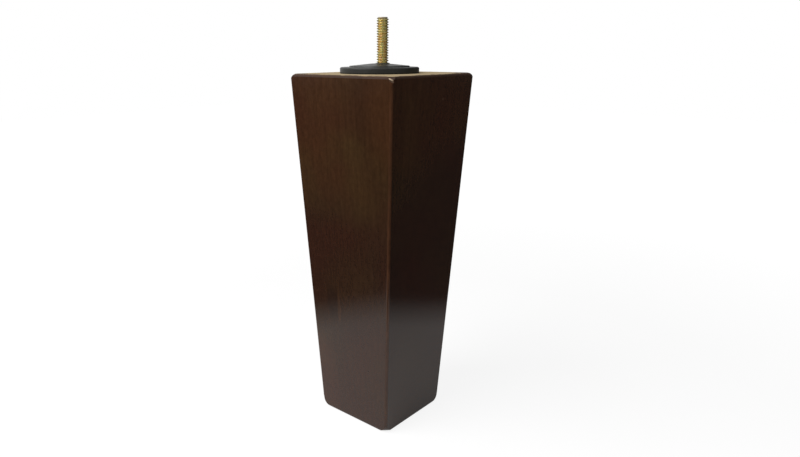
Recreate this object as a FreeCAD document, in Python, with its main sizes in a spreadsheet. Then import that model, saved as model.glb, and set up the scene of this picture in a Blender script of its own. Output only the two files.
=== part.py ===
import FreeCAD, Part
import math
import os
import Sketcher

# Tapered square furniture leg with a moulded disc and a hanger bolt on top.
# The origin is the middle of the foot, +Z points up, and the leg's four sides face X and Y.

doc = FreeCAD.newDocument("furniture_leg")

# Driving dimensions in millimetres and degrees
SIZES = {
    # wooden leg
    "leg_height": 199.0,
    "top_side": 69.85,
    "foot_side": 50.8,
    "edge_radius": 1.6,
    "foot_radius": 1.6,
    "top_radius": 1.2,
    # corner tips, rounded further at both ends
    "foot_tip_radius": 5.0,
    "top_tip_radius": 3.5,
    "tip_lean": 10.0,
    "tip_overcut": 0.05,
    "tip_reach": 6.0,
    # flake missing from the top of the front edge
    "chip_length": 2.8,
    "chip_width": 1.2,
    "chip_depth": 0.5,
    "chip_inset": 0.2,
    "chip_drop": 2.0,
    "chip_tilt": 60.0,
    # hanger bolt, 1/4 inch with 20 threads per inch above the leg
    "bolt_length": 63.5,
    "bolt_rise": 27.8,
    "machine_diameter": 6.35,
    "end_chamfer": 0.7,
    "shank_diameter": 5.5,
    "wood_core_diameter": 4.6,
    "wood_length": 27.0,
    "point_length": 6.0,
    # hole in the leg for the bolt
    "shank_clearance": 0.15,
    "drill_overrun": 2.5,
    # moulded disc
    "disc_diameter": 42.0,
    "rim_height": 3.1,
    "rim_radius": 0.8,
    "crown_diameter": 32.3,
    "step_height": 0.65,
    "step_slope": 0.3,
    "crown_rise": 1.15,
    "collar_height": 0.25,
    "collar_sink": 0.2,
    "collar_diameter": 7.3,
    "collar_foot_diameter": 8.2,
    "hole_clearance": 0.1,
    "hole_offset": 1.6,
    "disc_turn": 221.0,
    "rim_wall": 1.6,
    "core_depth": 1.9,
    "boss_diameter": 14.0,
    "rib_thickness": 1.2,
    "rib_inset": 0.8,
    "rib_root": 0.2,
    "rib_count": 8,
}

sheet = doc.addObject("Spreadsheet::Sheet", "sizes")
for row, (alias, value) in enumerate(SIZES.items(), start=1):
    sheet.set(f"A{row}", alias)
    sheet.set(f"B{row}", str(value))
    sheet.setAlias(f"B{row}", alias)
doc.recompute()

# Formulas that several features share
BOLT_EMBEDDED = "(sizes.bolt_length - sizes.bolt_rise)"
DISC_HEIGHT = "(sizes.rim_height + sizes.step_height + sizes.crown_rise + sizes.collar_height)"
HOLE_RADIUS = "(sizes.machine_diameter / 2 + sizes.hole_clearance)"
BOSS_RADIUS = "(sizes.boss_diameter / 2)"
CAVITY_RADIUS = "(sizes.disc_diameter / 2 - sizes.rim_wall)"


def plane(body, role):
    """The body's own origin plane with that role."""
    return next(f for f in body.Origin.OriginFeatures if f.Role == role)


def new_sketch(body, name, role):
    """An empty sketch on one of the body's origin planes."""
    sketch = body.newObject("Sketcher::SketchObject", name)
    sketch.AttachmentSupport = [(plane(body, role), "")]
    sketch.MapMode = "FlatFace"
    return sketch


def square_sketch(body, name, side):
    """A square on the foot's plane, centred on the leg's axis."""
    sketch = new_sketch(body, name, "XY_Plane")
    half = doc_value(side) / 2
    signs = ((-1, -1), (1, -1), (1, 1), (-1, 1))
    corners = [FreeCAD.Vector(x * half, y * half, 0) for x, y in signs]
    for start, end in zip(corners, corners[1:] + corners[:1]):
        sketch.addGeometry(Part.LineSegment(start, end))
    for line in range(4):
        sketch.addConstraint(Sketcher.Constraint("Coincident", line, 2, (line + 1) % 4, 1))
    for line in (0, 2):
        sketch.addConstraint(Sketcher.Constraint("Horizontal", line))
        sketch.addConstraint(Sketcher.Constraint("Vertical", line + 1))
    sketch.addConstraint(Sketcher.Constraint("Equal", 0, 1))
    sketch.addConstraint(Sketcher.Constraint("Symmetric", 0, 1, 1, 2, -1, 1))
    width = sketch.addConstraint(Sketcher.Constraint("DistanceX", 0, 1, 0, 2, 2 * half))
    sketch.setExpression(f"Constraints[{width}]", side)
    return sketch


def profile_sketch(body, name, corners):
    """A closed half section. Each corner is (radius formula, height formula), and None is zero."""
    sketch = new_sketch(body, name, "XZ_Plane")
    values = [[doc_value(formula) for formula in corner] for corner in corners]
    points = [FreeCAD.Vector(radius, height, 0) for radius, height in values]
    for start, end in zip(points, points[1:] + points[:1]):
        sketch.addGeometry(Part.LineSegment(start, end))
    count = len(corners)
    for line in range(count):
        sketch.addConstraint(Sketcher.Constraint("Coincident", line, 2, (line + 1) % count, 1))
    for line, (formulas, value) in enumerate(zip(corners, values)):
        for kind, axis, formula, size in zip(("DistanceX", "DistanceY"), (-2, -1), formulas, value):
            if formula is None:
                sketch.addConstraint(Sketcher.Constraint("PointOnObject", line, 1, axis))
            else:
                index = sketch.addConstraint(Sketcher.Constraint(kind, -1, 1, line, 1, size))
                sketch.setExpression(f"Constraints[{index}]", formula)
    return sketch


def doc_value(formula):
    """What a formula comes to with the sheet's present values."""
    return 0.0 if formula is None else float(sheet.evalExpression(formula))


def revolve(body, kind, name, sketch):
    """A full turn of a half section about its vertical axis."""
    feature = body.newObject(kind, name)
    feature.Profile = sketch
    feature.ReferenceAxis = (sketch, ["V_Axis"])
    feature.Angle = 360
    doc.recompute()
    return feature


def fillet(body, name, radius, wanted):
    """A round on every edge of the body's tip that the test picks."""
    base = body.Tip
    edges = [f"Edge{n}" for n, edge in enumerate(base.Shape.Edges, start=1) if wanted(edge)]
    feature = body.newObject("PartDesign::Fillet", name)
    feature.Base = (base, edges)
    feature.setExpression("Radius", radius)
    doc.recompute()
    return feature


def lies_at(edge, height):
    """Whether the whole edge lies at one height in its body."""
    return all(abs(vertex.Z - height) < 0.001 for vertex in edge.Vertexes)


def ring_at(edge, height, radius, x):
    """Whether the edge is a circle of that radius at that height, about a vertical axis at x."""
    if not isinstance(edge.Curve, Part.Circle):
        return False
    centre = edge.Curve.Center
    return (
        abs(edge.Curve.Radius - radius) < 0.001
        and abs(centre.z - height) < 0.001
        and abs(centre.x - x) < 0.001
    )


def build_leg():
    """A solid wooden frustum with rounded edges, drilled from the top for the bolt."""
    body = doc.addObject("PartDesign::Body", "wooden_leg")
    square = square_sketch(body, "top_square", "sizes.top_side")
    blank = body.newObject("PartDesign::Pad", "blank")
    blank.Profile = square
    blank.setExpression("Length", "sizes.leg_height")
    doc.recompute()
    faces = [(f"Face{n}", face.normalAt(0, 0)) for n, face in enumerate(blank.Shape.Faces, start=1)]
    taper = body.newObject("PartDesign::Draft", "taper")
    taper.Base = (blank, [name for name, normal in faces if abs(normal.z) < 0.5])
    taper.NeutralPlane = (blank, [name for name, normal in faces if normal.z > 0.5])
    taper.Reversed = True
    taper.setExpression("Angle", "atan((sizes.top_side - sizes.foot_side) / 2 / sizes.leg_height)")
    doc.recompute()

    height = SIZES["leg_height"]
    fillet(body, "long_edges", "sizes.edge_radius", lambda e: not lies_at(e, 0) and not lies_at(e, height))
    fillet(body, "foot_edges", "sizes.foot_radius", lambda e: lies_at(e, 0))
    fillet(body, "top_edges", "sizes.top_radius", lambda e: lies_at(e, height))
    round_tips(body, "foot_tips", "sizes.foot_side", "sizes.foot_tip_radius", "0", 1)
    round_tips(body, "top_tips", "sizes.top_side", "sizes.top_tip_radius", "sizes.leg_height", -1)

    # the flake left a small scoop across the edge between the +X and -Y sides
    chip = body.newObject("PartDesign::SubtractiveEllipsoid", "chip")
    chip.setExpression("Radius1", "sizes.chip_length / 2")
    chip.setExpression("Radius2", "sizes.chip_depth")
    chip.setExpression("Radius3", "sizes.chip_width / 2")
    chip.setExpression("Placement.Rotation", "rotation(-45; 0; sizes.chip_tilt)")
    side_there = (
        "(sizes.top_side - (sizes.top_side - sizes.foot_side) * sizes.chip_drop / sizes.leg_height)"
    )
    out = f"({side_there} / 2 - (1 - sqrt(0.5)) * sizes.edge_radius - sizes.chip_inset * sqrt(0.5))"
    chip.setExpression("Placement.Base.x", out)
    chip.setExpression("Placement.Base.y", f"-{out}")
    chip.setExpression("Placement.Base.z", "sizes.leg_height - sizes.chip_drop")
    doc.recompute()

    # pilot hole: the shank passes freely, and the screw's core fills the rest
    free = "sizes.shank_diameter / 2 + sizes.shank_clearance"
    core = "sizes.wood_core_diameter / 2"
    shank_end = f"sizes.leg_height - {BOLT_EMBEDDED} + sizes.wood_length"
    drilled = f"sizes.leg_height - {BOLT_EMBEDDED} - sizes.drill_overrun"
    section = profile_sketch(body, "pilot_section", [
        (None, "sizes.leg_height"),
        (free, "sizes.leg_height"),
        (free, shank_end),
        (core, shank_end),
        (core, f"{drilled} + {core}"),
        (None, drilled),
    ])
    revolve(body, "PartDesign::Groove", "pilot_hole", section)
    return body


def round_tips(body, name, side, radius, level, inward):
    """A turned cut that rounds the four corner tips at one end. Inward is 1 at the foot, -1 at the top."""
    sketch = new_sketch(body, f"{name}_section", "XZ_Plane")
    tip = f"({side} * sqrt(2) / 2 - (sqrt(2) - 1) * sizes.edge_radius)"
    centre_x = f"({tip} - {radius} * cos(sizes.tip_lean))"
    centre_z = f"({level} + {inward} * ({radius} - sizes.tip_overcut))"
    outer = f"({tip} + sizes.tip_reach)"
    centre = FreeCAD.Vector(doc_value(centre_x), doc_value(centre_z), 0)
    circle = Part.Circle(centre, FreeCAD.Vector(0, 0, 1), doc_value(radius))
    lean = math.radians(SIZES["tip_lean"])
    angles = sorted((-inward * math.pi / 2, -inward * lean))
    arc = sketch.addGeometry(Part.ArcOfCircle(circle, *angles))
    flat_end, steep_end = (1, 2) if inward > 0 else (2, 1)
    start = sketch.getPoint(arc, flat_end)
    end = sketch.getPoint(arc, steep_end)
    far = doc_value(outer)
    climb = (far - end.x) / math.tan(lean)
    points = [end, FreeCAD.Vector(far, end.y + inward * climb, 0), FreeCAD.Vector(far, start.y, 0), start]
    for first, second in zip(points, points[1:]):
        sketch.addGeometry(Part.LineSegment(first, second))
    slope, wall, base = arc + 1, arc + 2, arc + 3
    sketch.addConstraint(Sketcher.Constraint("Tangent", arc, steep_end, slope, 1))
    sketch.addConstraint(Sketcher.Constraint("Coincident", slope, 2, wall, 1))
    sketch.addConstraint(Sketcher.Constraint("Coincident", wall, 2, base, 1))
    sketch.addConstraint(Sketcher.Constraint("Tangent", base, 2, arc, flat_end))
    sketch.addConstraint(Sketcher.Constraint("Vertical", wall))
    sketch.addConstraint(Sketcher.Constraint("Horizontal", base))
    for kind, curve, point, formula in (
        ("DistanceX", arc, 3, centre_x),
        ("DistanceY", arc, 3, centre_z),
        ("DistanceX", wall, 2, outer),
    ):
        index = sketch.addConstraint(Sketcher.Constraint(kind, -1, 1, curve, point, doc_value(formula)))
        sketch.setExpression(f"Constraints[{index}]", formula)
    size = sketch.addConstraint(Sketcher.Constraint("Radius", arc, doc_value(radius)))
    sketch.setExpression(f"Constraints[{size}]", radius)
    turn = sketch.addConstraint(Sketcher.Constraint("Angle", slope, inward * (math.pi / 2 - lean)))
    sketch.setExpression(f"Constraints[{turn}]", f"{inward} * (90 - sizes.tip_lean) * 1 deg")
    return revolve(body, "PartDesign::Groove", name, sketch)


def build_bolt():
    """A hanger bolt: machine end up, plain shank, then the screw end in the wood."""
    body = doc.addObject("PartDesign::Body", "hanger_bolt")
    tip = f"sizes.leg_height - {BOLT_EMBEDDED}"
    core = "sizes.wood_core_diameter / 2"
    shank = "sizes.shank_diameter / 2"
    machine = "sizes.machine_diameter / 2"
    end = "sizes.leg_height + sizes.bolt_rise"
    section = profile_sketch(body, "bolt_section", [
        (None, tip),
        (core, f"{tip} + sizes.point_length"),
        (core, f"{tip} + sizes.wood_length"),
        (shank, f"{tip} + sizes.wood_length"),
        (shank, f"sizes.leg_height + {DISC_HEIGHT}"),
        (machine, f"sizes.leg_height + {DISC_HEIGHT}"),
        (machine, f"{end} - sizes.end_chamfer"),
        (f"{machine} - sizes.end_chamfer", end),
        (None, end),
    ])
    revolve(body, "PartDesign::Revolution", "bolt_turned", section)
    return body


def build_disc():
    """A moulded disc: rim, stepped crown, collar round the bolt, and a ribbed hollow underneath."""
    body = doc.addObject("PartDesign::Body", "top_disc")
    rim = "sizes.disc_diameter / 2"
    crown = "sizes.crown_diameter / 2"
    crown_foot = "sizes.rim_height + sizes.step_height"
    crown_top = f"{crown_foot} + sizes.crown_rise"

    # the rim's axis stands off the bolt's by the hole's offset
    section = profile_sketch(body, "disc_section", [
        (None, None),
        (rim, None),
        (rim, "sizes.rim_height"),
        (crown, "sizes.rim_height"),
        (f"{crown} - sizes.step_slope", crown_foot),
        ("sizes.collar_foot_diameter / 2", crown_top),
        (None, crown_top),
    ])
    section.setExpression("AttachmentOffset.Base.x", "sizes.hole_offset")
    revolve(body, "PartDesign::Revolution", "disc_turned", section)
    offset = SIZES["hole_offset"]
    rim_top = SIZES["rim_height"]
    fillet(body, "rim_edge", "sizes.rim_radius",
           lambda e: ring_at(e, rim_top, SIZES["disc_diameter"] / 2, offset))

    collar = profile_sketch(body, "collar_section", [
        (None, "sizes.rim_height"),
        ("sizes.collar_foot_diameter / 2", "sizes.rim_height"),
        ("sizes.collar_foot_diameter / 2", f"{crown_top} - sizes.collar_sink"),
        ("sizes.collar_diameter / 2", DISC_HEIGHT),
        (None, DISC_HEIGHT),
    ])
    revolve(body, "PartDesign::Revolution", "collar", collar)

    # hollow underside between the rim's wall and the boss round the bolt
    hollow = new_sketch(body, "hollow_rings", "XY_Plane")
    for centre_x, radius in (("sizes.hole_offset", CAVITY_RADIUS), (None, BOSS_RADIUS)):
        add_circle(hollow, centre_x, radius)
    cut_up(body, "hollow", hollow, "sizes.core_depth")

    hole = new_sketch(body, "hole_ring", "XY_Plane")
    add_circle(hole, None, HOLE_RADIUS)
    cut_up(body, "bolt_hole", hole, f"2 * {DISC_HEIGHT}")
    build_ribs(body)

    turned = FreeCAD.Rotation(FreeCAD.Vector(0, 0, 1), SIZES["disc_turn"])
    body.Placement = FreeCAD.Placement(FreeCAD.Vector(), turned)
    body.setExpression("Placement.Base.z", "sizes.leg_height")
    body.setExpression("Placement.Rotation.Angle", "sizes.disc_turn")
    return body


def add_circle(sketch, centre_x, radius):
    """A circle centred on the sketch's horizontal axis, at the origin if centre_x is None."""
    centre = FreeCAD.Vector(doc_value(centre_x), 0, 0)
    circle = sketch.addGeometry(Part.Circle(centre, FreeCAD.Vector(0, 0, 1), doc_value(radius)))
    sketch.addConstraint(Sketcher.Constraint("PointOnObject", circle, 3, -1))
    if centre_x is None:
        sketch.addConstraint(Sketcher.Constraint("PointOnObject", circle, 3, -2))
    else:
        along = sketch.addConstraint(Sketcher.Constraint("DistanceX", -1, 1, circle, 3, centre.x))
        sketch.setExpression(f"Constraints[{along}]", centre_x)
    size = sketch.addConstraint(Sketcher.Constraint("Radius", circle, doc_value(radius)))
    sketch.setExpression(f"Constraints[{size}]", radius)


def cut_up(body, name, sketch, depth):
    """A pocket from the underside up into the body."""
    before = body.Shape.Volume
    pocket = body.newObject("PartDesign::Pocket", name)
    pocket.Profile = sketch
    pocket.Reversed = True
    pocket.setExpression("Length", depth)
    doc.recompute()
    if body.Shape.Volume >= before:
        raise RuntimeError(f"{name} cuts nothing")
    return pocket


def build_ribs(body):
    """Ribs from the boss to the rim's wall, level with the underside."""
    sketch = new_sketch(body, "rib_outline", "XY_Plane")
    sketch.setExpression("AttachmentOffset.Base.x", "sizes.hole_offset")
    inner = f"({BOSS_RADIUS} - sizes.hole_offset - sizes.rib_inset)"
    outer = f"({CAVITY_RADIUS} + sizes.rib_inset)"
    half = doc_value("sizes.rib_thickness / 2")
    near = doc_value(inner)
    far = doc_value(outer)
    corners = [FreeCAD.Vector(x, y, 0) for x, y in ((near, -half), (far, -half), (far, half), (near, half))]
    for start, end in zip(corners, corners[1:] + corners[:1]):
        sketch.addGeometry(Part.LineSegment(start, end))
    for line in range(4):
        sketch.addConstraint(Sketcher.Constraint("Coincident", line, 2, (line + 1) % 4, 1))
    for line in (0, 2):
        sketch.addConstraint(Sketcher.Constraint("Horizontal", line))
    sketch.addConstraint(Sketcher.Constraint("Vertical", 3))
    sketch.addConstraint(Sketcher.Constraint("Symmetric", 1, 1, 1, 2, -1))
    for first, point, formula, size in ((0, 1, inner, near), (0, 2, outer, far)):
        index = sketch.addConstraint(Sketcher.Constraint("DistanceX", -1, 1, first, point, size))
        sketch.setExpression(f"Constraints[{index}]", formula)
    width = sketch.addConstraint(Sketcher.Constraint("DistanceY", 1, 1, 1, 2, 2 * half))
    sketch.setExpression(f"Constraints[{width}]", "sizes.rib_thickness")

    rib = body.newObject("PartDesign::Pad", "rib")
    rib.Profile = sketch
    rib.setExpression("Length", "sizes.core_depth + sizes.rib_root")
    doc.recompute()
    ribs = body.newObject("PartDesign::PolarPattern", "ribs")
    ribs.Originals = [rib]
    ribs.Axis = (sketch, ["N_Axis"])
    ribs.Angle = 360
    ribs.setExpression("Occurrences", "sizes.rib_count")
    body.Tip = ribs
    doc.recompute()


def export(bodies):
    """Writes each sub-part's solid, once every object of the document is sound."""
    doc.recompute()
    for obj in doc.Objects:
        if "Invalid" in obj.State or "Error" in obj.State:
            raise RuntimeError(f"{obj.Label} failed: {obj.State}")
    os.makedirs("parts", exist_ok=True)
    for body in bodies:
        shape = body.Shape
        if shape.isNull() or not shape.isValid() or len(shape.Solids) != 1:
            raise RuntimeError(f"{body.Label} isn't one sound solid")
    for body in bodies:
        body.Shape.exportStep(f"parts/{body.Label}.step")
        box = body.Shape.optimalBoundingBox(False)
        print(f"{body.Label}: {body.Shape.Volume:.1f} mm3, z {box.ZMin:.2f} to {box.ZMax:.2f}")


export([build_leg(), build_bolt(), build_disc()])
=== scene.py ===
import math

import bmesh
import bpy
from mathutils import Matrix, Vector


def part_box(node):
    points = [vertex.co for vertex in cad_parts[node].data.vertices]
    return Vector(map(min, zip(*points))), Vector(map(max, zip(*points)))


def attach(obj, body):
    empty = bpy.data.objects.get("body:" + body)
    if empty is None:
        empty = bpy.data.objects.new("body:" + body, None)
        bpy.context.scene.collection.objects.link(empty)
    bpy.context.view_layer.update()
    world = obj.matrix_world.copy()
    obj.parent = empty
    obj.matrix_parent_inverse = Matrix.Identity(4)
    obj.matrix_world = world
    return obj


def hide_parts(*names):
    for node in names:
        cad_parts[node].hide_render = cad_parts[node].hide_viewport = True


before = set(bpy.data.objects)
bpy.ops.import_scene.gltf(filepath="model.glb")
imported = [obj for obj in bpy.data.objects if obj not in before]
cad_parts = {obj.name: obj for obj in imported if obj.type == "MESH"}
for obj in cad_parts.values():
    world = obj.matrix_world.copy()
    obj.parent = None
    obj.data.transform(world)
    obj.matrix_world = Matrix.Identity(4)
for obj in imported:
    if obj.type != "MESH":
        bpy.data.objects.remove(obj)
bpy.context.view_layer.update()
MM = 0.001

# Places of the real pieces, in metres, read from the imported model
LEG_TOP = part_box("wooden_leg")[1].z
DISC_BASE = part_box("top_disc")[0].z
BOLT_LOW, BOLT_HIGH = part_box("hanger_bolt")


# Helpers for modelling and for materials

def deselect():
    """Nothing selected and nothing active, so an operator acts only on what is picked next."""
    if bpy.context.object and bpy.context.object.mode != "OBJECT":
        bpy.ops.object.mode_set(mode="OBJECT")
    bpy.ops.object.select_all(action="DESELECT")


def pick(obj):
    """Makes one object the selected and active one."""
    deselect()
    obj.select_set(True)
    bpy.context.view_layer.objects.active = obj
    return obj


def added(name):
    """Names the primitive that was just added, and puts its place and size into its mesh."""
    obj = bpy.context.object
    obj.name = name
    obj.data.name = name
    bpy.ops.object.transform_apply(location=True, rotation=True, scale=True)
    return obj


def edit(obj):
    """Opens one object in edit mode."""
    pick(obj)
    bpy.ops.object.mode_set(mode="EDIT")


def middle(part):
    """The middle of an edge or a face."""
    return sum((corner.co for corner in part.verts), Vector()) / len(part.verts)


def select(obj, kind, wanted):
    """In edit mode, selects the verts, edges or faces whose place passes a test."""
    bpy.context.tool_settings.mesh_select_mode = [kind == k for k in ("verts", "edges", "faces")]
    bpy.ops.mesh.select_all(action="DESELECT")
    mesh = bmesh.from_edit_mesh(obj.data)
    for part in getattr(mesh, kind):
        if wanted(part.co if kind == "verts" else middle(part)):
            part.select_set(True)
    bmesh.update_edit_mesh(obj.data)


def modified(obj, kind, **settings):
    """Puts one modifier on an object and applies it."""
    pick(obj)
    modifier = obj.modifiers.new(kind.lower(), kind)
    for name, value in settings.items():
        setattr(modifier, name, value)
    bpy.ops.object.modifier_apply(modifier=modifier.name)


def combined(obj, other, operation):
    """Adds another closed shape to an object, or keeps only what lies in both."""
    modified(obj, "BOOLEAN", object=other, operation=operation, solver="EXACT")
    bpy.data.objects.remove(other)


def new_material(name):
    """A material with a Principled shader, as (material, its nodes' tree, the shader)."""
    material = bpy.data.materials.new(name)
    material.use_nodes = True
    tree = material.node_tree
    shader = tree.nodes["Principled BSDF"]
    return material, tree, shader


def node(tree, kind, values=(), **settings):
    """A node with its settings made and its inputs set or linked, by name or by number."""
    made = tree.nodes.new(kind)
    for name, value in settings.items():
        setattr(made, name, value)
    for name, value in dict(values).items():
        if isinstance(value, bpy.types.NodeSocket):
            tree.links.new(value, made.inputs[name])
        else:
            made.inputs[name].default_value = value
    return made


def ramp(tree, factor, stops):
    """A colour ramp through the stops, each (position, colour)."""
    made = node(tree, "ShaderNodeValToRGB", {"Fac": factor})
    elements = made.color_ramp.elements
    for element, (position, colour) in zip(elements, (stops[0], stops[-1])):
        element.position = position
        element.color = (*colour, 1)
    for position, colour in stops[1:-1]:
        elements.new(position).color = (*colour, 1)
    return made.outputs["Color"]


def map_range(tree, value, low, high, to_low=0.0, to_high=1.0, smooth=False):
    """A value carried from one range to another, and held at its ends."""
    made = node(tree, "ShaderNodeMapRange", {
        "Value": value, "From Min": low, "From Max": high, "To Min": to_low, "To Max": to_high,
    }, interpolation_type="SMOOTHSTEP" if smooth else "LINEAR")
    return made.outputs["Result"]


def mix(tree, factor, first, second, blend="MIX"):
    """Two colours mixed by a factor. The node has sockets of one name, so they go by number."""
    made = node(tree, "ShaderNodeMix", {"Factor": factor}, data_type="RGBA", blend_type=blend)
    for socket, value in ((made.inputs[6], first), (made.inputs[7], second)):
        if isinstance(value, bpy.types.NodeSocket):
            tree.links.new(value, socket)
        else:
            socket.default_value = (*value, 1)
    return made.outputs[2]


def math_node(tree, operation, first, second=0.0):
    """One step of arithmetic on two values."""
    made = node(tree, "ShaderNodeMath", {0: first, 1: second}, operation=operation)
    return made.outputs["Value"]


def object_place(tree):
    """A point's place on the object, as sockets called X, Y and Z."""
    place = node(tree, "ShaderNodeTexCoord")
    return node(tree, "ShaderNodeSeparateXYZ", {"Vector": place.outputs["Object"]}).outputs


def object_noise(tree, scale, detail=3.0, roughness=0.5, stretch=(1, 1, 1), shift=(0, 0, 0)):
    """Noise on Object coordinates, drawn out where a stretch is under one."""
    place = node(tree, "ShaderNodeTexCoord")
    mapped = node(tree, "ShaderNodeMapping", {
        "Vector": place.outputs["Object"], "Scale": stretch, "Location": shift,
    })
    noise = node(tree, "ShaderNodeTexNoise", {
        "Vector": mapped.outputs["Vector"], "Scale": scale, "Detail": detail, "Roughness": roughness,
    })
    return noise.outputs["Fac"]


def bumped(tree, height, strength, distance, under=None):
    """The surface's direction, roughened by a height, over an earlier roughening if there is one."""
    values = {"Height": height, "Strength": strength, "Distance": distance}
    if under is not None:
        values["Normal"] = under
    return node(tree, "ShaderNodeBump", values).outputs["Normal"]


def spot(tree, centre, radii, turn=(0, 0, 0), soft=0.2):
    """One inside an egg-shaped place on the object, fading to none past its skin."""
    place = node(tree, "ShaderNodeTexCoord")
    local = node(tree, "ShaderNodeMapping", {
        "Vector": place.outputs["Object"], "Location": centre, "Rotation": turn, "Scale": radii,
    }, vector_type="TEXTURE")
    out = node(tree, "ShaderNodeVectorMath", {0: local.outputs["Vector"]}, operation="LENGTH")
    return map_range(tree, out.outputs["Value"], 1.0, 1.0 + soft, 1.0, 0.0, smooth=True)


# Stained and lacquered wood, with bare end grain on top

FOOT_HALF = 25.4 * MM
TOP_HALF = 34.925 * MM
PITH = (0.071, -0.052, 0)
RING_SCALE = 105
# where the wear on the edges and the bare top begin and end
EDGE_WEAR = (1.0 * MM, 1.5 * MM)
RIM_WEAR = (0.7 * MM, 1.1 * MM)
LOWER_WEAR = (45 * MM, 80 * MM)
ROUNDING = (LEG_TOP - 1.4 * MM, LEG_TOP - 1.0 * MM)
BARE_TOP = (LEG_TOP - 0.30 * MM, LEG_TOP - 0.10 * MM)
# how far stain was sprayed over the top, from two corners and from the sides
CORNER_REACH = (8 * MM, 20 * MM)
CORNER_FADE = (-3 * MM, 2 * MM)
ACROSS = (-30 * MM, 30 * MM)
SIDE_REACH = 1.6 * MM
SIDE_FADE = 0.7 * MM
# marks: the chip, a sliver of bare wood in it, a dent and a rubbed streak
CHIP_CENTRE = (34.219 * MM, -34.219 * MM, 197 * MM)
CHIP_RADII = (0.60 * MM, 0.62 * MM, 1.40 * MM)
CHIP_TURN = (math.radians(60), 0, math.radians(-45))
SLIVER_CENTRE = (33.95 * MM, -34.45 * MM, 197.55 * MM)
SLIVER_RADII = (0.9 * MM, 0.36 * MM, 1.20 * MM)
SLIVER_TURN = (math.radians(60), 0, math.radians(-56))
DENT_CENTRE = (34.34 * MM, 7.4 * MM, 186.7 * MM)
DENT_RADII = (1.0 * MM, 0.55 * MM, 0.45 * MM)
RUB_CENTRE = (-7.2 * MM, -28.8 * MM, 70 * MM)
RUB_RADII = (0.7 * MM, 2.0 * MM, 6.0 * MM)
# colours of the worn, sprayed and marked wood
THIN_STAIN = (0.100, 0.040, 0.0180)
# painted shade: a darker tint for the rounding under the top, standing in for a dimmer reflection there
RIM_PAINTED_SHADE = (0.70, 0.62, 0.50)
SPRAYED_STAIN = (0.046, 0.024, 0.014)
DENT_COLOUR = (0.13, 0.07, 0.045)
RUB_COLOUR = (0.09, 0.038, 0.017)
CHIP_COLOUR = (0.085, 0.045, 0.024)
SLIVER_COLOUR = (0.60, 0.46, 0.31)
# broad clouds in the stain: centre and radii in millimetres, and what they multiply the colour by
CLOUDS = (
    ((2, -32, 146), (22, 14, 17), (1.10, 1.28, 1.12)),
    ((-10, -31, 92), (30, 14, 30), (0.80, 0.86, 0.98)),
    ((31, 4, 112), (14, 30, 34), (0.86, 0.88, 1.00)),
    ((34, -10, 190), (12, 34, 26), (1.30, 1.24, 1.14)),
    ((-22, -34, 186), (16, 10, 22), (1.12, 1.04, 1.03)),
    ((27, -34, 176), (11, 8, 30), (0.82, 0.77, 0.79)),
    ((-25, -27, 12), (9, 9, 26), (1.28, 1.16, 1.16)),
    ((-12, -29, 73), (3, 3, 7), (0.78, 0.80, 0.88)),
)


def leg_place(tree):
    """A point's height, how far in it is from the sides and from the edges, and its x plus y."""
    place = object_place(tree)
    height = place["Z"]
    half = map_range(tree, height, 0.0, LEG_TOP, FOOT_HALF, TOP_HALF)
    in_x = math_node(tree, "SUBTRACT", half, math_node(tree, "ABSOLUTE", place["X"]))
    in_y = math_node(tree, "SUBTRACT", half, math_node(tree, "ABSOLUTE", place["Y"]))
    side = math_node(tree, "MINIMUM", in_x, in_y)
    edge = math_node(tree, "ADD", in_x, in_y)
    across = math_node(tree, "ADD", place["X"], place["Y"])
    return height, side, edge, across


def stain_colour(tree):
    """Brown stain, and its grain, its mottling and its growth rings."""
    place = node(tree, "ShaderNodeTexCoord")
    mapped = node(tree, "ShaderNodeMapping", {
        "Vector": place.outputs["Object"], "Location": PITH, "Scale": (1, 1, 0.04),
    })
    rings = node(tree, "ShaderNodeTexWave", {
        "Vector": mapped.outputs["Vector"], "Scale": RING_SCALE, "Distortion": 5.0,
        "Detail": 3.0, "Detail Scale": 0.6, "Detail Roughness": 0.6,
    }, wave_type="RINGS", rings_direction="Z")
    grain = object_noise(tree, 900, 4, 0.6, (1, 1, 0.03))
    mottle = object_noise(tree, 620, 3, 0.6, (1, 1, 0.55), (0.3, 0.1, 0))
    patches = object_noise(tree, 26, 3, 0.5, (1, 1, 0.8), (2.1, 0.4, 0.7))
    stain = ramp(tree, patches, [
        (0.34, (0.0420, 0.0140, 0.0062)),
        (0.50, (0.0400, 0.0155, 0.0064)),
        (0.66, (0.0440, 0.0195, 0.0074)),
    ])
    for factor, low, high in (
        (rings.outputs["Fac"], (0.975, 0.97, 0.965), (1.025, 1.025, 1.025)),
        (grain, (0.91, 0.90, 0.89), (1.09, 1.09, 1.09)),
        (mottle, (0.84, 0.82, 0.82), (1.17, 1.18, 1.18)),
    ):
        shade = ramp(tree, factor, [(0.28, low), (0.72, high)])
        stain = mix(tree, 1.0, stain, shade, "MULTIPLY")
    for centre, radii, tint in CLOUDS:
        cloud = spot(tree, Vector(centre) * MM, Vector(radii) * MM, soft=0.9)
        stain = mix(tree, cloud, stain, tint, "MULTIPLY")
    return stain, grain, mottle, rings.outputs["Fac"]


def worn_edges(tree, height, side, edge):
    """How thin the stain is along the upright edges, less so near the foot, and along the top."""
    upright = map_range(tree, edge, *EDGE_WEAR, 1.0, 0.0)
    upright = math_node(tree, "MULTIPLY", upright, map_range(tree, height, *LOWER_WEAR, 0.55, 0.9))
    rim = math_node(tree, "ADD", math_node(tree, "SUBTRACT", LEG_TOP, height), side)
    rim = map_range(tree, rim, *RIM_WEAR, 0.4, 0.0)
    broken = object_noise(tree, 300, 4, 0.65, (1, 1, 0.25), (0.5, 0.2, 0))
    broken = map_range(tree, broken, 0.35, 0.6, 0.35, 1.0)
    return math_node(tree, "MULTIPLY", math_node(tree, "MAXIMUM", upright, rim), broken)


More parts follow.
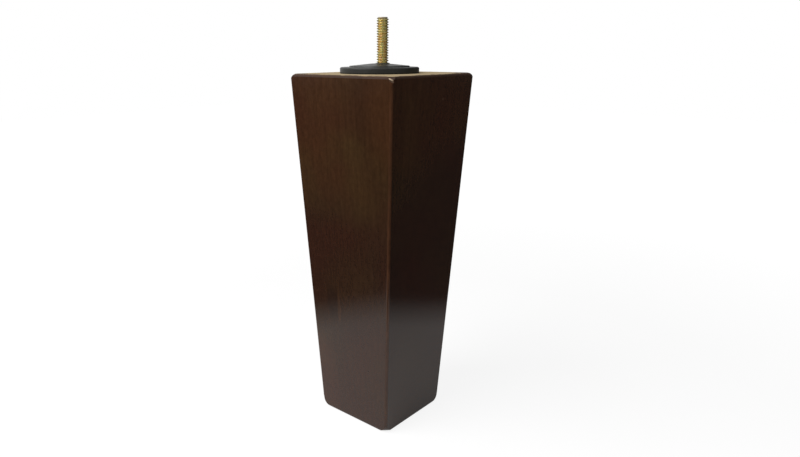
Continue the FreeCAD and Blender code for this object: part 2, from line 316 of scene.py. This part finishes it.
def end_grain(tree, side, across, rings):
    """Bare end grain with stain sprayed over its sides and two corners, and how much is sprayed."""
    pores = object_noise(tree, 1500, 3, 0.6, (1, 1, 0.02), (0.2, 0.6, 0))
    patches = object_noise(tree, 70, 3, 0.55, (1, 1, 0.1), (1.3, 0.2, 0))
    growth = math_node(tree, "MULTIPLY", rings, map_range(tree, patches, 0.35, 0.65, 0.35, 1.0))
    bare = ramp(tree, growth, [
        (0.0, (0.385, 0.290, 0.160)),
        (0.3, (0.435, 0.335, 0.190)),
        (1.0, (0.475, 0.370, 0.215)),
    ])
    for factor, low, high in (
        (pores, (0.86, 0.84, 0.80), (1.05, 1.05, 1.05)),
        (patches, (0.94, 0.92, 0.90), (1.03, 1.03, 1.03)),
    ):
        bare = mix(tree, 1.0, bare, ramp(tree, factor, [(0.3, low), (0.65, high)]), "MULTIPLY")
    drift = object_noise(tree, 210, 4, 0.65, (1, 1, 1), (0.9, 0.3, 0))
    reach = math_node(tree, "SUBTRACT", 2 * TOP_HALF, math_node(tree, "ABSOLUTE", across))
    corner = math_node(tree, "SUBTRACT", reach, map_range(tree, drift, 0.3, 0.7, *CORNER_REACH))
    corner = map_range(tree, corner, *CORNER_FADE, 1.0, 0.0, smooth=True)
    heavy = map_range(tree, across, *ACROSS, 0.72, 0.96)
    creep = math_node(tree, "SUBTRACT", side, map_range(tree, drift, 0.35, 0.7, 0.0, SIDE_REACH))
    creep = map_range(tree, creep, 0.0, SIDE_FADE, 0.85, 0.0, smooth=True)
    sprayed = math_node(tree, "MAXIMUM", math_node(tree, "MULTIPLY", corner, heavy), creep)
    return mix(tree, sprayed, bare, SPRAYED_STAIN), sprayed


def lacquered_wood():
    """Brown stain under satin lacquer, rubbed thin along the edges, on a block left bare on top."""
    material, tree, shader = new_material("lacquered_wood")
    height, side, edge, across = leg_place(tree)
    stain, grain, mottle, rings = stain_colour(tree)
    stain = mix(tree, worn_edges(tree, height, side, edge), stain, THIN_STAIN)

    # the rounding under the top is duller, as the lacquer is thin there, and its colour is darkened as a
    # painted shade, for a dimmer reflection on it
    rounded = map_range(tree, height, *ROUNDING)
    stain = mix(tree, rounded, stain, RIM_PAINTED_SHADE, "MULTIPLY")
    top, sprayed = end_grain(tree, side, across, rings)
    on_top = map_range(tree, height, *BARE_TOP)
    colour = mix(tree, on_top, stain, top)

    # the chip with its sliver, the dent and the rubbed streak
    chip = spot(tree, CHIP_CENTRE, CHIP_RADII, CHIP_TURN)
    sliver = spot(tree, SLIVER_CENTRE, SLIVER_RADII, SLIVER_TURN)
    dent = spot(tree, DENT_CENTRE, DENT_RADII, soft=0.8)
    rub = spot(tree, RUB_CENTRE, RUB_RADII, soft=1.2)
    colour = mix(tree, math_node(tree, "MULTIPLY", dent, 0.5), colour, DENT_COLOUR)
    colour = mix(tree, math_node(tree, "MULTIPLY", rub, 0.24), colour, RUB_COLOUR)
    colour = mix(tree, chip, colour, CHIP_COLOUR)
    colour = mix(tree, sliver, colour, SLIVER_COLOUR)
    tree.links.new(colour, shader.inputs["Base Color"])

    # smooth lacquer, and rough wood where it is bare or the lacquer thin
    gloss = map_range(tree, mottle, 0.3, 0.7, 0.11, 0.15)
    dull = map_range(tree, sprayed, 0.0, 1.0, 0.9, 0.8)
    bared = math_node(tree, "MAXIMUM", chip, sliver)
    bared = math_node(tree, "MAXIMUM", bared, math_node(tree, "MAXIMUM", on_top, rounded))
    rough = node(tree, "ShaderNodeMix", {"Factor": bared, 2: gloss, 3: dull}, data_type="FLOAT")
    tree.links.new(rough.outputs[0], shader.inputs["Roughness"])
    shader.inputs["IOR"].default_value = 1.47
    grained = bumped(tree, grain, 0.06, 0.1 * MM)
    tree.links.new(bumped(tree, mottle, 0.05, 0.15 * MM, grained), shader.inputs["Normal"])
    return material


# Satin black moulded plastic

# painted shade along the disc's lowest edge: the heights where it fades, and its dark colour
DISC_PAINTED_SHADE = (DISC_BASE + 0.3 * MM, DISC_BASE + 0.7 * MM)
PAINTED_SHADE_COLOUR = (0.003, 0.0025, 0.002)


def moulded_plastic():
    """Satin black plastic with a fine moulded grain, cloudy where hands have rubbed it, and a painted
    shade on its lowest edge.
    """
    material, tree, shader = new_material("moulded_plastic")
    speckle = object_noise(tree, 3000, 2, 0.6)
    clouds = object_noise(tree, 160, 3, 0.6)
    colour = ramp(tree, clouds, [(0.3, (0.015, 0.0155, 0.014)), (0.7, (0.023, 0.024, 0.022))])
    flecks = ramp(tree, speckle, [(0.35, (0.8, 0.8, 0.8)), (0.65, (1.3, 1.3, 1.3))])
    colour = mix(tree, 1.0, colour, flecks, "MULTIPLY")
    rough = map_range(tree, clouds, 0.3, 0.7, 0.38, 0.52)

    # painted shade: the lowest edge, where the disc meets the wood, is darkened and made rough, for the
    # shadow in the gap there
    shade = map_range(tree, object_place(tree)["Z"], *DISC_PAINTED_SHADE, 1.0, 0.0)
    colour = mix(tree, shade, colour, PAINTED_SHADE_COLOUR)
    tree.links.new(colour, shader.inputs["Base Color"])
    tree.links.new(math_node(tree, "MAXIMUM", rough, shade), shader.inputs["Roughness"])
    shader.inputs["Specular IOR Level"].default_value = 0.25
    tree.links.new(bumped(tree, speckle, 0.3, 0.05 * MM), shader.inputs["Normal"])
    return material


# Yellow zinc plating

GREY_END = (BOLT_HIGH.z - 1.1 * MM, BOLT_HIGH.z - 0.5 * MM)
GREY = (0.21, 0.20, 0.19)


def zinc_plating():
    """Yellow zinc, drifting from gold to greenish and pinkish, scuffed, with a grey upper end."""
    material, tree, shader = new_material("zinc_plating")
    drift = object_noise(tree, 480, 3, 0.6, (1, 1, 0.7))
    scuffs = object_noise(tree, 2600, 3, 0.7, (1, 1, 0.5))
    colour = ramp(tree, drift, [
        (0.32, (0.50, 0.33, 0.19)),
        (0.42, (0.57, 0.42, 0.16)),
        (0.50, (0.62, 0.51, 0.22)),
        (0.58, (0.51, 0.50, 0.24)),
        (0.70, (0.60, 0.45, 0.17)),
    ])
    tint = ramp(tree, scuffs, [(0.35, (0.82, 0.80, 0.76)), (0.65, (1.08, 1.08, 1.08))])
    colour = mix(tree, 1.0, colour, tint, "MULTIPLY")
    tip = map_range(tree, object_place(tree)["Z"], *GREY_END, 0.0, 0.75)
    tree.links.new(mix(tree, tip, colour, GREY), shader.inputs["Base Color"])
    shader.inputs["Metallic"].default_value = 1.0
    rough = map_range(tree, scuffs, 0.3, 0.7, 0.38, 0.52)
    tree.links.new(rough, shader.inputs["Roughness"])
    tree.links.new(bumped(tree, scuffs, 0.15, 0.03 * MM), shader.inputs["Normal"])
    return material


# The threaded bolt

# pitches and radii of the machine end, the shank and the wood end
PITCH = 1.27 * MM
THREAD_DEPTH = 0.6134 * PITCH
CREST = (BOLT_HIGH.x - BOLT_LOW.x) / 2
ROOT = CREST - THREAD_DEPTH
SHANK = 2.75 * MM
WOOD_PITCH = 2.54 * MM
WOOD_CREST = 2.8 * MM
WOOD_ROOT = 1.95 * MM
WOOD_CREST_WIDTH = 0.08 * MM
# where the machine end and the shank begin, and lengths along the axis
MACHINE_LOW = 200.0 * MM
SHANK_LOW = 190.2 * MM
TIP_LENGTH = 6.2 * MM
MACHINE_CHAMFER = 0.85 * MM
SHANK_CHAMFER = 0.4 * MM
# how far joined shapes run into each other, and how far a trimming bar stands out past the thread
OVERLAP = 0.5 * MM
MACHINE_ROOM = 0.12 * MM
WOOD_ROOM = 0.1 * MM
# what counts as the same place, while shapes are made and after they are joined
NEAR = 0.001 * MM
CUT_NEAR = 0.0001 * MM
BESIDE_ROOT = 0.01 * MM
SLIVER = 0.002 * MM
SMOOTH_UP_TO = math.radians(32)


def thread(name, pitch, root, crest, crest_width, groove_width, low, high, steps=40):
    """A closed length of right-hand screw thread on the leg's axis, cut square at both ends."""
    deselect()
    ridge = pitch - groove_width
    half = (root + crest) / 2
    start = low - 1.5 * pitch
    bpy.ops.mesh.primitive_plane_add(size=1, location=(half, 0, start), rotation=(math.pi / 2, 0, 0))
    bpy.context.object.scale = (crest - root, ridge, 1)
    obj = added(name)
    edit(obj)
    select(obj, "verts", lambda place: place.x > half)
    bpy.ops.transform.resize(value=(1, 1, crest_width / ridge), center_override=(crest, 0, start))
    bpy.ops.mesh.select_all(action="SELECT")
    bpy.ops.mesh.delete(type="ONLY_FACE")
    select(obj, "edges", lambda place: place.x < root + BESIDE_ROOT)
    bpy.ops.mesh.delete(type="EDGE")
    select(obj, "verts", lambda place: place.x < half and place.z > start)
    bpy.ops.mesh.extrude_region_move(TRANSFORM_OT_translate={"value": (0, 0, groove_width)})
    select(obj, "verts", lambda place: place.x > half)
    # under half the crest's width, so that the two rounded corners don't cross
    bpy.ops.mesh.bevel(affect="VERTICES", offset=0.4 * crest_width, segments=2)
    bpy.ops.object.mode_set(mode="OBJECT")
    turns = math.ceil((high - low) / pitch) + 3
    modified(obj, "SCREW", axis="Z", screw_offset=pitch, iterations=turns,
             steps=steps, render_steps=steps)
    edit(obj)
    bpy.ops.mesh.select_all(action="SELECT")
    bpy.ops.mesh.remove_doubles(threshold=NEAR)
    for height, side in ((low, {"clear_inner": True}), (high, {"clear_outer": True})):
        bpy.ops.mesh.select_all(action="SELECT")
        bpy.ops.mesh.bisect(
            plane_co=(0, 0, height), plane_no=(0, 0, 1), use_fill=True, threshold=CUT_NEAR, **side)
    bpy.ops.mesh.select_all(action="SELECT")
    bpy.ops.mesh.normals_make_consistent(inside=False)
    bpy.ops.object.mode_set(mode="OBJECT")
    return obj


def rod(name, radius, low, high, chamfer=0.0):
    """An upright round bar on the leg's axis, with both its ends chamfered if a chamfer is given."""
    deselect()
    bpy.ops.mesh.primitive_cylinder_add(
        vertices=80, radius=radius, depth=high - low, location=(0, 0, (low + high) / 2))
    obj = added(name)
    if chamfer:
        edit(obj)
        select(obj, "edges", lambda place: min(place.z - low, high - place.z) < NEAR)
        bpy.ops.mesh.bevel(offset=chamfer, segments=1)
        bpy.ops.object.mode_set(mode="OBJECT")
    return obj


def sharpen(obj, low, length):
    """Draws the lower end of an upright bar out to a point."""
    edit(obj)
    select(obj, "faces", lambda place: place.z - low < NEAR)
    bpy.ops.mesh.extrude_region_move(TRANSFORM_OT_translate={"value": (0, 0, -length)})
    bpy.ops.mesh.merge(type="CENTER")
    bpy.ops.object.mode_set(mode="OBJECT")


def merge_slivers(obj):
    """Takes out the tiny edges and flat faces that joining closed shapes leaves."""
    edit(obj)
    bpy.ops.mesh.select_all(action="SELECT")
    bpy.ops.mesh.remove_doubles(threshold=SLIVER)
    bpy.ops.mesh.dissolve_degenerate(threshold=SLIVER)
    bpy.ops.object.mode_set(mode="OBJECT")


def make_bolt():
    """Machine thread above, a plain shank at the wood's top, and a wood thread with its point."""
    top, point = BOLT_HIGH.z, BOLT_LOW.z
    bolt = thread("threaded_bolt", PITCH, ROOT, CREST, PITCH / 8, PITCH / 6,
                  MACHINE_LOW - OVERLAP, top + OVERLAP)
    end = rod("machine_end", CREST + MACHINE_ROOM, MACHINE_LOW, top, MACHINE_CHAMFER)
    combined(bolt, end, "INTERSECT")
    wood = thread("wood_end", WOOD_PITCH, WOOD_ROOT, WOOD_CREST, WOOD_CREST_WIDTH, WOOD_PITCH / 2,
                  point, SHANK_LOW + OVERLAP)
    tip = rod("wood_tip", WOOD_CREST + WOOD_ROOM, point + TIP_LENGTH, SHANK_LOW + 2 * OVERLAP)
    sharpen(tip, point + TIP_LENGTH, TIP_LENGTH)
    combined(wood, tip, "INTERSECT")
    # the overlap keeps every ring of the shank's chamfer out of the plane where the machine end begins
    combined(bolt, rod("shank", SHANK, SHANK_LOW, MACHINE_LOW + OVERLAP, SHANK_CHAMFER), "UNION")
    combined(bolt, wood, "UNION")
    merge_slivers(bolt)
    pick(bolt)
    bpy.ops.object.shade_smooth_by_angle(angle=SMOOTH_UP_TO)
    bolt.data.materials.clear()
    bolt.data.materials.append(zinc_plating())
    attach(bolt, "root")
    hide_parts("hanger_bolt")


def dress(name, material):
    """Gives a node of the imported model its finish."""
    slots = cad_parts[name].data.materials
    slots.clear()
    slots.append(material)


dress("wooden_leg", lacquered_wood())
dress("top_disc", moulded_plastic())
make_bolt()


# Floor, light and camera

# the camera, fitted to the leg's edges in the photograph
CAMERA_TURN = math.radians(41.79)
CAMERA_DIP = math.radians(18.45)
CAMERA_ROLL = math.radians(-0.26)
CAMERA_OUT = 349.7 * MM
CAMERA_ASIDE = -10.98 * MM
CAMERA_UP = 209.96 * MM
FRAME_WIDTH = 800
FRAME_HEIGHT = 457
FOCAL_PIXELS = 629.9
AXIS_PIXEL = (362.7, 261.6)
# the white floor: how it glows near the leg and far off, and the light it throws back
FLOOR_SIZE = 4.0
GLOW_FROM, GLOW_TO = 0.25, 0.8
GLOW_NEAR, GLOW_FAR = 0.88, 1.0
FLOOR_PALENESS = 0.18
# the pale sheet that is mirrored in the lacquer, and the room past its edge
SHEET_HALF = 155 * MM
SHEET_FADE = (SHEET_HALF - 22 * MM, SHEET_HALF + 28 * MM)
SHEET_TURN = math.radians(38)
SHEET_GLOW = 0.3
SHEET_PALENESS = 0.6
ROOM_COLOUR = (0.045, 0.042, 0.045, 1)
# the world: its light on the object, and its darker side for mirrored rays
WHITE = (1, 1, 1, 1)
ROOM_LIGHT = 0.15
DARK_SIDE = (math.cos(math.radians(74)), math.sin(math.radians(74)), 0)
DARK_FADE = (0.5, 0.72)
DARK_LIGHT = 0.1


def seen_rays(tree):
    """One for rays that show the background, seen, mirrored or refracted, and the light path node."""
    path = node(tree, "ShaderNodeLightPath")
    seen = math_node(tree, "MAXIMUM", path.outputs["Is Camera Ray"], path.outputs["Is Glossy Ray"])
    return math_node(tree, "MAXIMUM", seen, path.outputs["Is Transmission Ray"]), path


def glow_and_shade(tree, glow, paleness):
    """A floor that glows by itself and takes light and shadow on top of that."""
    light = node(tree, "ShaderNodeEmission", {"Color": WHITE, "Strength": glow})
    shade = node(tree, "ShaderNodeBsdfDiffuse", {"Color": (paleness, paleness, paleness, 1)})
    return node(tree, "ShaderNodeAddShader", {0: light.outputs[0], 1: shade.outputs[0]}).outputs[0]


def floor_material():
    """White floor with a soft shadow. Mirrored rays find a pale sheet, and a dark room past its edge."""
    material, tree, shader = new_material("pale_floor")
    tree.nodes.remove(shader)
    seen, path = seen_rays(tree)
    place = node(tree, "ShaderNodeTexCoord")
    out = node(tree, "ShaderNodeVectorMath", {0: place.outputs["Object"]}, operation="LENGTH")
    out = out.outputs["Value"]
    lit = node(tree, "ShaderNodeBsdfDiffuse", {"Color": (0.8, 0.8, 0.8, 1)})
    glow = map_range(tree, out, GLOW_FROM, GLOW_TO, GLOW_NEAR, GLOW_FAR)
    shown = glow_and_shade(tree, glow, FLOOR_PALENESS)
    sheet = glow_and_shade(tree, SHEET_GLOW, SHEET_PALENESS)
    room = node(tree, "ShaderNodeEmission", {"Color": ROOM_COLOUR, "Strength": 1.0})
    turned = node(tree, "ShaderNodeMapping", {
        "Vector": place.outputs["Object"], "Rotation": (0, 0, -SHEET_TURN),
    })
    parts = node(tree, "ShaderNodeSeparateXYZ", {"Vector": turned.outputs["Vector"]})
    across = math_node(tree, "MAXIMUM", math_node(tree, "ABSOLUTE", parts.outputs["X"]),
                       math_node(tree, "ABSOLUTE", parts.outputs["Y"]))
    past = map_range(tree, across, *SHEET_FADE)
    mirrored = node(tree, "ShaderNodeMixShader", {0: past, 1: sheet, 2: room.outputs[0]})
    shown = node(tree, "ShaderNodeMixShader", {
        0: path.outputs["Is Glossy Ray"], 1: shown, 2: mirrored.outputs[0],
    })
    both = node(tree, "ShaderNodeMixShader", {0: seen, 1: lit.outputs[0], 2: shown.outputs[0]})
    tree.links.new(both.outputs[0], tree.nodes["Material Output"].inputs["Surface"])
    return material


def make_floor():
    """The floor, flat at height zero. It is part of the stage and not of the object."""
    deselect()
    bpy.ops.mesh.primitive_plane_add(size=FLOOR_SIZE, location=(0, 0, 0))
    floor = bpy.context.object
    floor.name = "floor"
    floor.data.materials.append(floor_material())


def make_world():
    """White for the camera, and a dim even room for the object's light.

    Mirrored rays find the same white all round, but for the room's darker side.
    """
    world = bpy.data.worlds.new("room")
    bpy.context.scene.world = world
    world.use_nodes = True
    tree = world.node_tree
    tree.nodes.clear()
    seen, path = seen_rays(tree)
    way = node(tree, "ShaderNodeTexCoord").outputs["Generated"]
    toward = node(tree, "ShaderNodeVectorMath", {0: way, 1: DARK_SIDE}, operation="DOT_PRODUCT")
    side = map_range(tree, toward.outputs["Value"], *DARK_FADE, 1.0, DARK_LIGHT, smooth=True)
    strength = math_node(tree, "MAXIMUM", side, path.outputs["Is Camera Ray"])
    white = node(tree, "ShaderNodeBackground", {"Color": WHITE, "Strength": strength})
    dim = node(tree, "ShaderNodeBackground", {"Color": WHITE, "Strength": ROOM_LIGHT})
    both = node(tree, "ShaderNodeMixShader", {0: seen, 1: dim.outputs[0], 2: white.outputs[0]})
    node(tree, "ShaderNodeOutputWorld", {"Surface": both.outputs[0]})


def make_lamp(name, turn, rise, distance, size, power):
    """A square soft lamp, aimed at the leg's middle from a turn and a rise in degrees."""
    target = Vector((0, 0, LEG_TOP / 2))
    way = Vector((
        math.cos(math.radians(rise)) * math.cos(math.radians(turn)),
        math.cos(math.radians(rise)) * math.sin(math.radians(turn)),
        math.sin(math.radians(rise)),
    ))
    light = bpy.data.lights.new(name, "AREA")
    light.size = size
    light.energy = power
    lamp = bpy.data.objects.new(name, light)
    bpy.context.scene.collection.objects.link(lamp)
    lamp.location = target + way * distance
    lamp.rotation_euler = (-way).to_track_quat("-Z", "Y").to_euler()


def make_camera():
    """The photograph's viewpoint, from a corner and a little above the leg's top."""
    lens = bpy.data.cameras.new("camera")
    camera = bpy.data.objects.new("camera", lens)
    bpy.context.scene.collection.objects.link(camera)
    turn = CAMERA_TURN
    camera.location = (
        CAMERA_ASIDE * math.cos(turn) + CAMERA_OUT * math.sin(turn),
        CAMERA_ASIDE * math.sin(turn) - CAMERA_OUT * math.cos(turn),
        CAMERA_UP,
    )
    level = Matrix.Rotation(turn, 3, "Z") @ Matrix.Rotation(math.pi / 2 - CAMERA_DIP, 3, "X")
    camera.rotation_euler = (level @ Matrix.Rotation(CAMERA_ROLL, 3, "Z")).to_euler()
    lens.sensor_width = 36
    lens.lens = FOCAL_PIXELS / FRAME_WIDTH * lens.sensor_width
    lens.shift_x = (FRAME_WIDTH / 2 - AXIS_PIXEL[0]) / FRAME_WIDTH
    lens.shift_y = (AXIS_PIXEL[1] - FRAME_HEIGHT / 2) / FRAME_WIDTH
    lens.clip_start = 0.01
    bpy.context.scene.camera = camera


make_floor()
make_world()
make_lamp("key", turn=-112, rise=46, distance=0.85, size=0.6, power=7.0)
make_lamp("fill", turn=20, rise=40, distance=1.0, size=0.8, power=0.25)
make_camera()
bpy.context.scene.view_settings.view_transform = "Standard"
